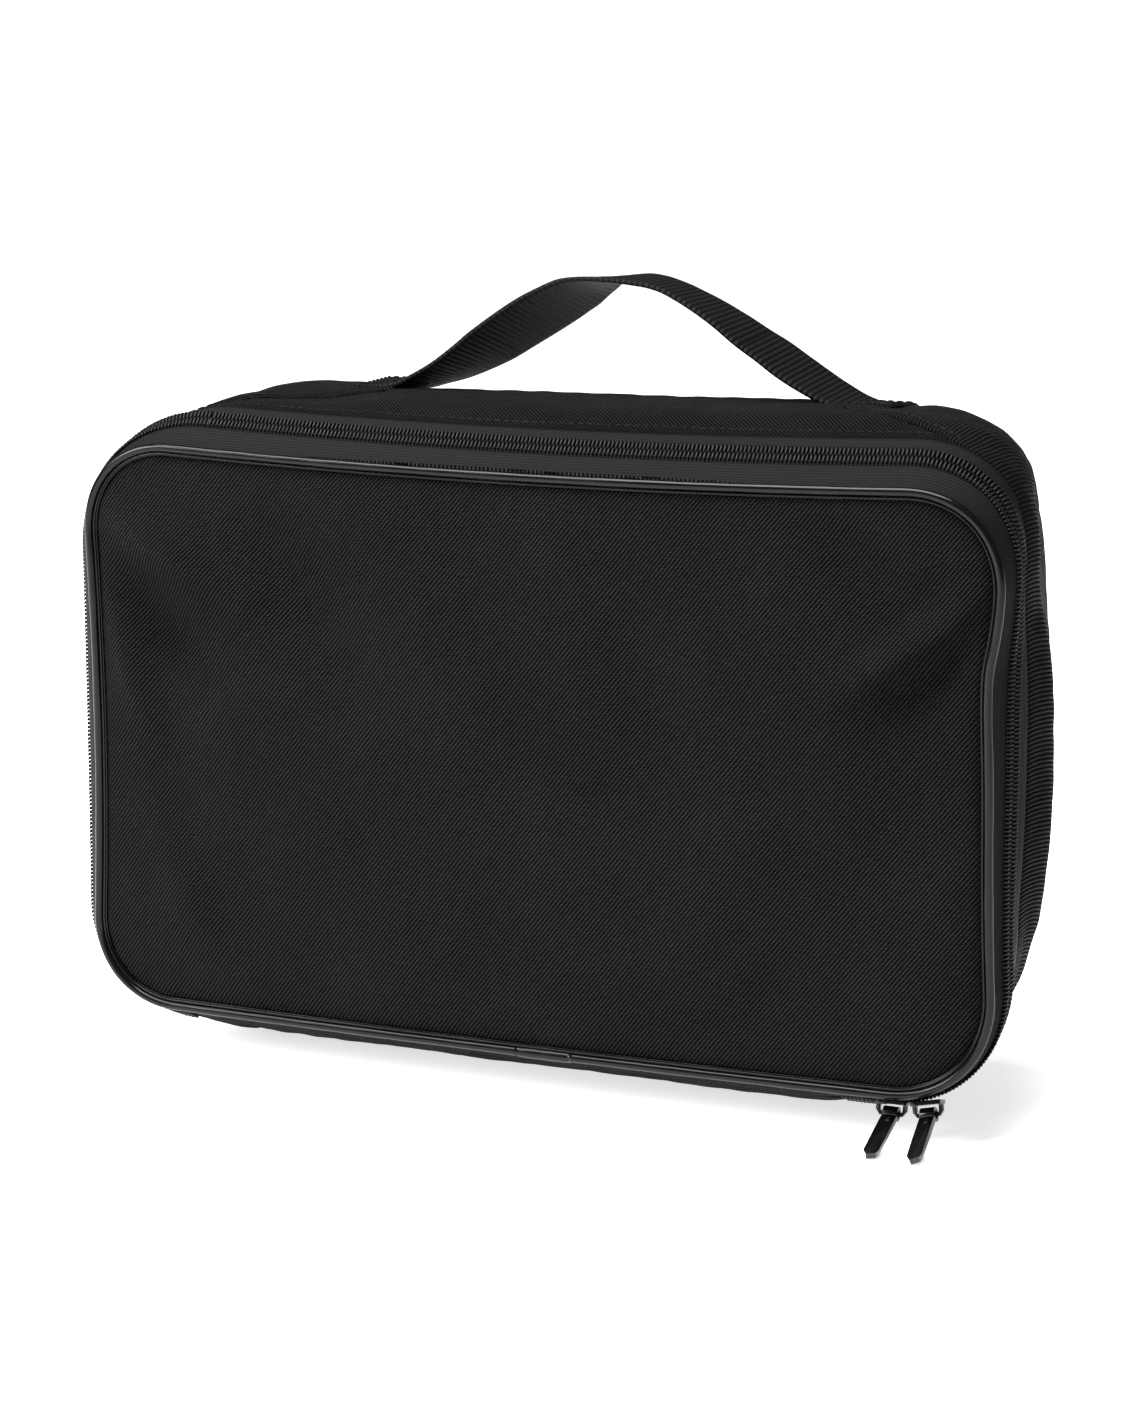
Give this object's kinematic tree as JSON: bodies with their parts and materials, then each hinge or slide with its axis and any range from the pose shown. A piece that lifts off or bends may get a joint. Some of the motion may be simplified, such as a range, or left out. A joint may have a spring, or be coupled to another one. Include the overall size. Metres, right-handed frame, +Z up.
{
  "type": "cable organizer pouch",
  "caption": "Soft padded rectangular case with a zipped fold-down front lid, piped seam, webbing top handle, elastic cable loops and a mesh pocket inside",
  "frame": {"origin": "centre of the flat base that the pouch stands on", "axes": "+X to the right seen from the front, +Y to the back, +Z up; the handle is on top"},
  "size_m": [0.31, 0.1081, 0.2461],
  "materials": {
    "twill": "matt, fine diagonal weave",
    "foam": "matt open-cell foam",
    "board": "matt",
    "lining": "plain weave, slight sheen",
    "piping": "glossy coated fabric",
    "cord": "matt twisted filler cord",
    "tape": "matt herringbone tape",
    "coil": "satin nylon coil",
    "zip_metal": "glossy black plating",
    "webbing": "ribbed webbing with a light sheen",
    "elastic": "matt ribbed elastic",
    "mesh": "open knitted net"
  },
  "bodies": {
    "case": {"zip_coil_body": "coil", "zip_tape_body": "tape", "zip_end_right": "tape", "zip_end_left": "tape", "zip_tab_right": "twill", "zip_tab_left": "twill", "hinge_strip": "twill", "gusset_top": "twill", "gusset_bottom": "twill", "gusset_right": "twill", "gusset_left": "twill", "gusset_foam": "foam", "gusset_lining": "lining", "back_panel": "twill", "back_board": "board", "back_foam": "foam", "back_lining": "lining", "back_seam_binding": "lining", "cable_loops_upper": "elastic", "cable_loops_lower": "elastic", "handle_end_left": "webbing", "handle_end_right": "webbing"},
    "lid": {"front_panel": "twill", "front_foam": "foam", "front_lining": "lining", "lid_seam_binding": "lining", "mesh_pocket": "mesh", "pocket_binding": "elastic", "piping_cover": "piping", "piping_core": "cord", "piping_sleeve": "piping", "zip_tape_lid": "tape", "zip_coil_lid": "coil"},
    "handle": {"handle_strap": "webbing"},
    "slider_left": {"slider_1": "zip_metal"},
    "slider_right": {"slider_2": "zip_metal"},
    "pull_left": {"pull_1": "zip_metal"},
    "pull_right": {"pull_2": "zip_metal"}
  },
  "joints": [
    {"name": "lid_hinge", "type": "hinge", "parent": "case", "child": "lid", "pos_m": [0, -0.0434, 0.0133], "axis": [1, 0, 0], "range_deg": [0, 90]},
    {"name": "slider_left_slide", "type": "slide", "parent": "case", "child": "slider_left", "axis": [1, 0, 0], "range_m": [-0.0045, 0.0005]},
    {"name": "slider_right_corner", "type": "hinge", "parent": "case", "child": "slider_right", "pos_m": [0.118, -0.0379, 0.048], "axis": [0, -1, 0], "range_deg": [0, 65]},
    {"name": "pull_left_swing", "type": "hinge", "parent": "slider_left", "child": "pull_left", "pos_m": [0.1155, -0.03962, 0.00782], "axis": [1, 0, 0], "range_deg": [0, 110]},
    {"name": "pull_right_swing", "type": "hinge", "parent": "slider_right", "child": "pull_right", "pos_m": [0.12704, -0.03962, 0.00885], "axis": [0.9744, 0, 0.225], "range_deg": [0, 110]},
    {"name": "handle_swing", "type": "hinge", "parent": "case", "child": "handle", "pos_m": [0.0085, 0.014, 0.2143], "axis": [1, 0, 0], "range_deg": [-45, 45]}
  ]
}
